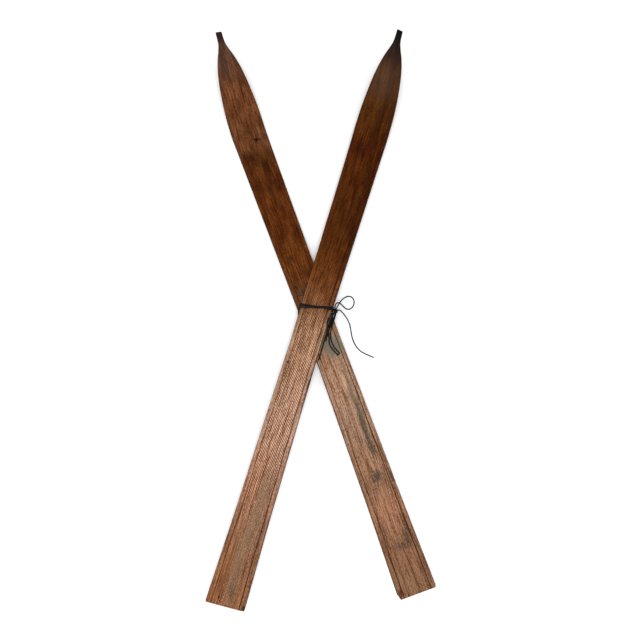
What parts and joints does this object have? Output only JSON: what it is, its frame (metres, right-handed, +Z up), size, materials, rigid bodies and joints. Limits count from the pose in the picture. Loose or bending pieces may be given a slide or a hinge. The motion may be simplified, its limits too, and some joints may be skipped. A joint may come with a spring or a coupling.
{
  "type": "pair of cross country skis",
  "caption": "Pair of plain old wooden cross country skis, crossed in a long X and tied at the crossing with a thin lace and a bow.",
  "frame": {"origin": "on the floor, straight under the point where the two skis cross", "axes": "+Z up, away from the floor; +Y along the line that halves the angle between the two tips, towards the tips; +X to the right, towards the tip of the ski that lies on top"},
  "size_m": [0.5296, 1.451, 0.1308],
  "materials": {
    "front_wood": "worn oiled wood, dark old varnish on the front half, pale and open grained behind",
    "rear_wood": "worn oiled wood, dark old varnish on the front half, stained and open grained behind",
    "lace": "thin round waxed leather lace, nearly black"
  },
  "bodies": {
    "rear": {"rear_ski": "rear_wood"},
    "front": {"front_ski": "front_wood", "bow_knot": "lace", "lashing_turn_1": "lace", "lashing_turn_2": "lace", "lashing_turn_3": "lace", "lace_loop_upper": "lace", "lace_tail_long": "lace", "lace_loop_lower": "lace", "lace_tail_short": "lace", "lace_tail_spare": "lace"}
  },
  "joints": [
    {"name": "scissor", "type": "hinge", "parent": "rear", "child": "front", "pos_m": [0, 0, 0], "axis": [0, 0, 1], "range_deg": [0, 34]}
  ]
}
